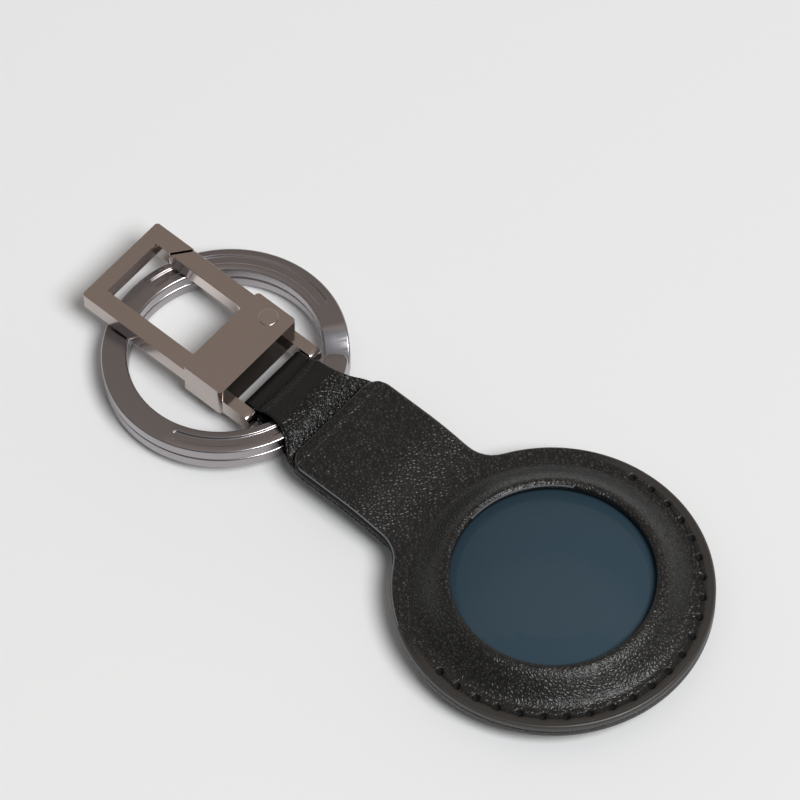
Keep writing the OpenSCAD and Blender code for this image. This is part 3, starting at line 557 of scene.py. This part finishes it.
# Painted shade: the stitch holes on the outer face are marked to be made near black.
marked(pocket, "hole_shade_share", smooth(sunk(places[:, 0], places[:, 1]), 0.15, 0.35)
       * (places[:, 2] < POCKET_RISE + 1.0))
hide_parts("back_pocket")
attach(pocket, "holder")

# Stitching: one waxed black thread on each face, from hole to hole round the outer half of the disc.
# Twisted polyester of two plies, about half a millimetre thick.
# Each stitch lies in the groove and dips into its holes.
THREAD_R = 0.14
PLY_OUT = 0.1
DIP = 0.75
DIP_SHARE = 0.26


def thread_piece():
    """Every stitch on both faces, each of two plies that make one turn round each other."""
    step = STITCH_SPAN / (STITCH_HOLES - 1)
    verts, faces = [], []
    sides, count = 8, 21

    def tube(path):
        start = len(verts)
        path = np.array(path)
        ahead = np.gradient(path, axis=0)
        ahead /= np.linalg.norm(ahead, axis=1)[:, None]
        for point, way in zip(path, ahead):
            side = np.cross(way, (0.3, 0.2, 1.0))
            side /= np.linalg.norm(side)
            top = np.cross(side, way)
            for k in range(sides):
                a = math.tau * k / sides
                verts.append(point + THREAD_R * (side * math.cos(a) + top * math.sin(a)))
        for i in range(count - 1):
            for k in range(sides):
                a, b = start + i * sides, start + (i + 1) * sides
                faces.append((a + k, a + (k + 1) % sides, b + (k + 1) % sides, b + k))
        faces.append(tuple(start + k for k in range(sides))[::-1])
        faces.append(tuple(start + (count - 1) * sides + k for k in range(sides)))

    for level, way in ((RIM_TOP - 0.14, 1), (POCKET_RISE + 0.14, -1)):
        for i in range(STITCH_HOLES - 1):
            for ply in (0, math.pi):
                path = []
                for share in np.linspace(0, 1, count):
                    turn = math.radians(-90 - STITCH_SPAN / 2 + (i + 0.06 + 0.88 * share) * step)
                    lift = -DIP * (1 - smooth(min(share, 1 - share), 0.0, DIP_SHARE))
                    twist = ply + share * math.tau
                    r = STITCH_R + PLY_OUT * math.cos(twist)
                    z = level + way * (lift + PLY_OUT * math.sin(twist))
                    path.append((r * math.cos(turn), r * math.sin(turn), z))
                tube(path)
    mesh = bpy.data.meshes.new("stitch_thread")
    mesh.from_pydata((np.array(verts) * MM).tolist(), [], faces)
    mesh.polygons.foreach_set("use_smooth", [True] * len(mesh.polygons))
    piece = bpy.data.objects.new("stitch_thread", mesh)
    bpy.context.scene.collection.objects.link(piece)
    return piece


thread = thread_piece()
thread.data.materials.append(speckled("waxed_thread", (0.004, 0.0038, 0.0036), (0.008, 0.0075, 0.007),
                                      (0.75, 0.9), grit=0.00008, height=0.00002))
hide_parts("stitching")
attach(thread, "holder")

# Strap: one thin leather band, folded round the bail bar, with the ring held in its loop.
# Black calf split to 0.7 mm, narrowed from the neck's width to the bar.
# Both ends are bonded under the neck, one on the other.
STRAP_T = 0.7
STRAP_HALF = 9.35
FOLD_HALF = 5.65
TAPER_START = 37.8
TAPER_END = 47.0
TAIL_R = 18.8
BAR_Y = 50.4
BAR_Z = 4.529
FOLD_R = 1.3
STRAP_BEND = 0.7
RING_X = -0.7
RING_R = 17.5
RING_Y = 59.6
UPPER_Z = SEAM_Z - STRAP_T / 2
LOWER_Z = SEAM_Z - STRAP_T * 1.5
ARCH_Z = 6.95
SAG_Z = 1.95
ARCH_Y = 42.35
ARCH_END = 46.3
SAG_END = 47.35
CREST_ON = 2.3
CREST_UP = 0.16
FOOT_PULL = 1.2
CREST_PULL = 3.3
STRAP_EDGE = 0.25
SMOOTH_FROM = 44.2
SMOOTH_TO = 45.8


def strap_width():
    """Half width of the strap at places along it."""
    taper = bend((TAPER_START, STRAP_HALF), (TAPER_END, FOLD_HALF), 99.0, 0.0)
    return np.array([(0.0, STRAP_HALF)] + taper + [(99.0, FOLD_HALF)])


def strap_line(x):
    """Side view of the strap's middle at a sideways place: its level tangents follow the ring's arc."""
    shift = math.sqrt(RING_R ** 2 - RING_X ** 2) - math.sqrt(RING_R ** 2 - (x - RING_X) ** 2)
    tail = math.sqrt(TAIL_R ** 2 - x * x)
    line = [(y, UPPER_Z + lifted(y)) for y in np.linspace(tail, NECK_LEN - 1.2, 24)[:-1]]
    foot = np.array([NECK_LEN - 0.9, UPPER_Z + NECK_LIFT])
    crest = np.array([ARCH_Y + CREST_ON + shift, ARCH_Z + CREST_UP])
    for t in np.linspace(0, 1, 20):
        line.append(tuple(foot * (1 - t) ** 3 + (foot + [FOOT_PULL, 0]) * 3 * t * (1 - t) ** 2
                          + (crest - [CREST_PULL, 0]) * 3 * t * t * (1 - t) + crest * t ** 3))
    line += bend((ARCH_END + 0.75 * shift, ARCH_Z + 0.1), (BAR_Y, BAR_Z + FOLD_R), 99.0, 0.0, 6)
    line += [(BAR_Y + FOLD_R * math.cos(a), BAR_Z + FOLD_R * math.sin(a))
             for a in np.linspace(math.pi / 2, -math.pi / 2, 17)[1:-1]]
    line += bend((SAG_END + 0.4 * shift, SAG_Z), (BAR_Y, BAR_Z - FOLD_R), 99.0, 0.0, 6)[::-1]
    line += bend((NECK_LEN, LOWER_Z + NECK_LIFT), (ARCH_Y + shift, SAG_Z), STRAP_BEND, 0.0, 7)[::-1]
    line += [(y, LOWER_Z + lifted(y)) for y in np.linspace(tail, NECK_LEN - 0.3, 24)[:-1][::-1]]
    return np.array(line)


def strap_rows():
    """Rows across the strap, each a closed section with rounded edges."""
    side = strap_width()
    across = np.sin(np.linspace(-math.pi / 2, math.pi / 2, 41))
    lines = []
    for share in across:
        line = strap_line(share * STRAP_HALF)
        for _ in range(3):
            half = np.interp(line[:, 0], side[:, 0], side[:, 1])
            line = np.array([strap_line(x)[i] for i, x in enumerate(share * half)])
        lines.append(np.column_stack([share * half, line]))
    lines = np.array(lines)
    ahead = np.gradient(lines, axis=1)
    over = np.gradient(lines, axis=0)
    normal = np.cross(over, ahead)
    normal /= np.linalg.norm(normal, axis=2)[..., None]
    t = STRAP_T / 2
    rows = []
    for i in range(lines.shape[1]):
        half = abs(lines[-1, i, 0])
        past = np.clip((np.abs(lines[:, i, 0]) - (half - STRAP_EDGE)) / STRAP_EDGE, 0, 1)
        round_off = np.sqrt(np.clip(1 - past ** 2, 0.02, 1))
        top = lines[:, i] + normal[:, i] * (t * round_off)[:, None]
        low = lines[:, i] - normal[:, i] * (t * round_off)[:, None]
        rows.append(np.concatenate([top, low[::-1]]))
    return rows


strap = skin("strap_band", strap_rows(), False, True, True)
strap.data.materials.append(leather("black_strap_calf", (0.015, 0.0142, 0.0133), (0.005, 0.0047, 0.0043),
                                    (0.013, 0.0124, 0.012), 0.0006, 0.0001, (0.2, 0.28), 0.33))
along = np.array([v.co.y for v in strap.data.vertices]) / MM
marked(strap, "flat_share", smooth(along, SMOOTH_FROM, SMOOTH_TO))
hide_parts("strap")
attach(strap, "holder")

# Split ring: one flat wire wound in two turns, with a pressed channel in its upper face.
# Spring steel with a black nickel plate.
# The upper turn climbs from the lower one beside the wire's outer end.
WIRE_W = 3.7
WIRE_T = 1.86
WIRE_ROUND = 0.3
TURN_GAP = 0.08
CLIMB = 17.0
TIP_ANGLE = -54.0
RING_TILT = 4.487
RING_Z = 3.226
CHANNEL_W = 1.5
CHANNEL_DEPTH = 0.28
CHANNELS = ((32.0, 138.0), (247.0, 334.0))
CHANNEL_FORM = ((1.1, 0.0), (1.0, 0.0), (0.93, 0.3), (0.83, 0.8), (0.74, 1.0), (0.62, 1.0), (0.0, 1.0))
CLIMB_EASE = 0.32
TIP_ROUND = 1.1


def ring_rows():
    """Sections of the wire from its inner end to its outer end, in two turns."""
    half = WIRE_T + TURN_GAP / 2
    middle = RING_R - WIRE_W / 2
    tip_turn = math.degrees(TIP_ROUND / middle)
    end = 720 - CLIMB
    turns = list(np.arange(0, end, 2.0)) + [end]
    for base in (0.0, end):
        turns += [base + (1 if base == 0 else -1) * tip_turn * s for s in (0.02, 0.06, 0.15, 0.3, 0.5, 0.75)]
    turn_of_width = math.degrees(CHANNEL_W / 2 / middle)
    form = [(-s, depth) for s, depth in CHANNEL_FORM] + list(CHANNEL_FORM[-2::-1])
    for a, b in CHANNELS:
        for s in (0.0, 0.05, 0.15, 0.3, 0.5, 0.75, 1.0):
            turns += [360 - CLIMB + a + s * turn_of_width, 360 - CLIMB + b - s * turn_of_width]
    turns += list(360 - CLIMB + CLIMB * np.linspace(0, 1, 15))
    rows = []
    tilt = math.radians(RING_TILT)
    for u in sorted(set(round(float(t), 4) for t in turns)):
        if u <= 360 - CLIMB:
            z = -half
        elif u >= 360:
            z = TURN_GAP / 2
        else:
            share = (u - 360 + CLIMB) / CLIMB
            eased = share - CLIMB_EASE * math.sin(math.tau * share) / math.tau
            z = -half + (WIRE_T + TURN_GAP) * eased
        near_end = max(0.0, 1 - u / tip_turn, 1 - (end - u) / tip_turn)
        inset = TIP_ROUND * (1 - math.sqrt(1 - min(1.0, near_end) ** 2))
        inside = max(min(u - (360 - CLIMB) - a, b - u + 360 - CLIMB) for a, b in CHANNELS)
        lap = max(0.0, 1 - max(inside, 0.0) / turn_of_width)
        width = CHANNEL_W * math.sqrt(max(1 - lap * lap, 0.0))
        x0, x1, top, r = RING_R - WIRE_W + inset, RING_R - inset, z + WIRE_T, WIRE_ROUND
        section = []
        corners = ((x1 - r, top - r, 90), (x1 - r, z + r, 0), (x0 + r, z + r, -90), (x0 + r, top - r, 180))
        for cx, cz, a0 in corners:
            for a in np.radians(np.linspace(a0, a0 - 90, 6)):
                section.append((cx + r * math.cos(a), cz + r * math.sin(a)))
        width = min(width, x1 - x0 - 2 * r - 0.1)
        for s, depth in form:
            section.append((middle + s * max(width, 0.02) / 2,
                            top - depth * CHANNEL_DEPTH * min(1.0, width / 0.6)))
        angle = math.radians(u + CLIMB + TIP_ANGLE)
        ring = []
        for x, h in section:
            px, py = x * math.cos(angle), x * math.sin(angle)
            ring.append((RING_X + px, RING_Y + py * math.cos(tilt) + h * math.sin(tilt),
                         RING_Z - py * math.sin(tilt) + h * math.cos(tilt)))
        rows.append(ring)
    return rows


ring = skin("split_ring_wire", ring_rows(), False, True, True)
ring.data.materials.append(speckled("black_nickel", (0.44, 0.416, 0.43), (0.4, 0.378, 0.39), (0.2, 0.26), 1.0,
                                    grit=0.00016, height=0.0000015))
ring.modifiers.new("flats", "WEIGHTED_NORMAL").weight = 90
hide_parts("split_ring")
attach(ring, "ring")

# Snap hook: frame, block, two legs and the bail bar, cast in one piece of zinc.
# Gunmetal plate over a polished casting, with its edges rounded by tumbling.
# The strap's fold holds it by the bar.
BLOCK_END_Y = 54.0


def soften(name, width, segments):
    """Rounds a CAD node's edges with modifiers, which leave its mesh as it is."""
    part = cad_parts[name]
    weld = part.modifiers.new("weld", "WELD")
    weld.merge_threshold = 0.000002
    flat = part.modifiers.new("flats", "DECIMATE")
    flat.decimate_type = "DISSOLVE"
    flat.angle_limit = math.radians(1.0)
    edge = part.modifiers.new("edges", "BEVEL")
    edge.width = width * MM
    edge.segments = segments
    edge.limit_method = "ANGLE"
    edge.angle_limit = math.radians(30.0)
    edge.harden_normals = True
    edge.use_clamp_overlap = True


def plate_material(name, end_shade, side_reflection):
    """Gunmetal plate, with painted shade making the block's end wall nearly black and a painted reflection
    making upright sides lighter.
    """
    material, tree = finish_of(name)
    fine = add(tree, "ShaderNodeGroup", node_tree=speckle)
    fine.inputs["Grit Size"].default_value = 0.00014
    smear = fine.outputs["Smear"]
    tint = blended(tree, smear, (0.51, 0.45, 0.42), (0.465, 0.41, 0.383))
    spot = add(tree, "ShaderNodeTexCoord")
    place = add(tree, "ShaderNodeSeparateXYZ", {0: spot.outputs["Object"]}).outputs["Y"]
    facing = add(tree, "ShaderNodeSeparateXYZ", {0: spot.outputs["Normal"]})
    # Painted shade: the block's end wall that faces the bar is made nearly black, by the share given.
    before = ranged(tree, place, ((BLOCK_END_Y + 0.12) * MM, (BLOCK_END_Y - 0.02) * MM))
    after = ranged(tree, place, ((BLOCK_END_Y - 0.3) * MM, (BLOCK_END_Y - 0.15) * MM))
    turned = ranged(tree, facing.outputs["Y"], (-0.8, -0.97))
    end = reckoned(tree, "MULTIPLY", reckoned(tree, "MULTIPLY", before, after), turned)
    end_shaded = blended(tree, reckoned(tree, "MULTIPLY", end, end_shade), tint, (0.12, 0.1, 0.09))
    # Painted reflection: upright faces are made lighter, by the share given.
    upright = ranged(tree, facing.outputs["Z"], (0.6, 0.2))
    colour = blended(tree, reckoned(tree, "MULTIPLY", upright, side_reflection), end_shaded, (0.72, 0.64, 0.6))
    close_finish(tree, {"Base Color": colour, "Roughness": ranged(tree, smear, (0.0, 1.0), (0.12, 0.18)),
                        "Normal": raised(tree, fine.outputs["Grit"], 0.0000018), "Metallic": 1.0})
    return material


# The hook body takes the painted end shade and no painted side reflection.
gunmetal = plate_material("gunmetal_plate", 1.0, 0.0)
soften("hook_body", 0.28, segments=3)
dress(gunmetal, "hook_body")

# Gate with its rivet and its spring: the sprung arm that closes the hook.
# Cast zinc with the hook's plate, a steel rivet, and a coil of bright spring wire.
# The rivet goes down through the block and the gate's eye, and the spring pushes on the heel.
SPRING_X = 2.85
SPRING_Y0 = 54.9
SPRING_Y1 = 58.32
SPRING_Z = 5.904
SPRING_R = 0.74
SPRING_WIRE = 0.16
SPRING_CURLS = 4


def spring_rows():
    """Rings of points along the coil's wire."""
    rows = []
    count = 24 * SPRING_CURLS
    length = SPRING_Y1 - SPRING_Y0 - 2 * SPRING_WIRE
    for i in range(count + 1):
        turn = math.tau * i / 24
        y = SPRING_Y0 + SPRING_WIRE + length * i / count
        out = np.array([math.cos(turn), 0, math.sin(turn)])
        middle = np.array([SPRING_X, y, SPRING_Z]) + SPRING_R * out
        rows.append([middle + SPRING_WIRE * (math.cos(a) * out + math.sin(a) * np.array([0, 1, 0]))
                     for a in np.linspace(0, math.tau, 9)[:-1]])
    return rows


soften("gate", 0.3, segments=3)
soften("gate_rivet", 0.06, segments=2)
# The gate takes the painted reflection on its upright sides, and no painted end shade.
dress(plate_material("gate_plate", 0.0, 0.8), "gate")
dress(speckled("rivet_plate", (0.56, 0.5, 0.465), (0.48, 0.425, 0.395), (0.16, 0.3), 1.0,
               grit=0.00014, height=0.000003), "gate_rivet")
spring = skin("gate_spring_wire", spring_rows(), False, True, True)
spring.data.materials.append(speckled("spring_wire", (0.55, 0.55, 0.56), (0.48, 0.48, 0.5), (0.18, 0.3), 1.0))
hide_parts("gate_spring")
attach(spring, "hook")
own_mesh(spring)

# Camera, floor and light: a long lens from the disc's side, over a pale sheet.
# One soft lamp stands beside the camera, and the room gives the rest of the light.
LAMP_FAR = 2.6
camera_data = bpy.data.cameras.new("camera")
camera = bpy.data.objects.new("camera", camera_data)
bpy.context.scene.collection.objects.link(camera)
camera_data.sensor_width = 36.0
camera_data.lens = 384.4
camera_data.clip_start = 0.05
camera.location = (-0.4636, -0.37258, 1.0227)
aim = Vector((0.01146, 0.03779, 0.0)) - camera.location
camera.rotation_euler = aim.to_track_quat("-Z", "Y").to_euler()
bpy.context.scene.camera = camera

floor_mesh = bpy.data.meshes.new("floor")
floor_mesh.from_pydata([(-6, -6, 0), (6, -6, 0), (6, 6, 0), (-6, 6, 0)], [], [(0, 1, 2, 3)])
floor = bpy.data.objects.new("floor", floor_mesh)
bpy.context.scene.collection.objects.link(floor)
pale, tree = finish_of("pale_sheet")
direct = add(tree, "ShaderNodeLightPath").outputs["Is Camera Ray"]
sheet = blended(tree, direct, (0.82, 0.82, 0.82), (0.857, 0.862, 0.865))
close_finish(tree, {"Base Color": sheet, "Roughness": 0.9, "Specular IOR Level": 0.1})
floor_mesh.materials.append(pale)

lamp_data = bpy.data.lights.new("softbox", "AREA")
lamp_data.shape = "DISK"
lamp_data.size = 1.32
lamp_data.energy = 57.5
lamp = bpy.data.objects.new("softbox", lamp_data)
bpy.context.scene.collection.objects.link(lamp)
target = Vector((0.01, 0.04, 0.0))
lamp.location = target + LAMP_FAR * Vector((-0.049, -0.531, 0.845)).normalized()
lamp.rotation_euler = (target - lamp.location).to_track_quat("-Z", "Y").to_euler()

world = bpy.data.worlds.new("room")
bpy.context.scene.world = world
world.use_nodes = True
tree = world.node_tree
tree.nodes.clear()
way = add(tree, "ShaderNodeTexCoord").outputs["Generated"]
height = add(tree, "ShaderNodeSeparateXYZ", {0: way}).outputs["Z"]
room = add(tree, "ShaderNodeValToRGB", {"Fac": height})
ramp = room.color_ramp
ramp.elements[0].position = 0.0
ramp.elements[0].color = (0.95, 0.95, 0.95, 1.0)
ramp.elements[1].position = 1.0
ramp.elements[1].color = (0.455, 0.396, 0.355, 1.0)
for place, colour in ((0.24, (0.85, 0.85, 0.86)), (0.4, (0.25, 0.235, 0.225)),
                      (0.76, (0.216, 0.188, 0.168)), (0.86, (0.39, 0.34, 0.304))):
    stop = ramp.elements.new(place)
    stop.color = (*colour, 1.0)
side = add(tree, "ShaderNodeVectorMath", {0: way, 1: (-0.757, -0.654, 0.0)}, operation="DOT_PRODUCT")
near = ranged(tree, side.outputs["Value"], (-0.1, -0.08))
above = ranged(tree, height, (0.6, 0.8))
beside = ranged(tree, side.outputs["Value"], (-0.5, 0.1))
lower = reckoned(tree, "SUBTRACT", 1.0, above)
walls = blended(tree, reckoned(tree, "MULTIPLY", beside, lower), room.outputs["Color"], (0.1, 0.1, 0.1))
dome = blended(tree, reckoned(tree, "MULTIPLY", near, above), walls, (0.26, 0.275, 0.29))
seen = add(tree, "ShaderNodeLightPath").outputs["Is Camera Ray"]
shade = blended(tree, seen, dome, (0.8, 0.8, 0.8))
light = add(tree, "ShaderNodeBackground", {"Color": shade, "Strength": 1.0})
end = tree.nodes.new("ShaderNodeOutputWorld")
tree.links.new(light.outputs[0], end.inputs["Surface"])

bpy.context.scene.view_settings.view_transform = "Standard"
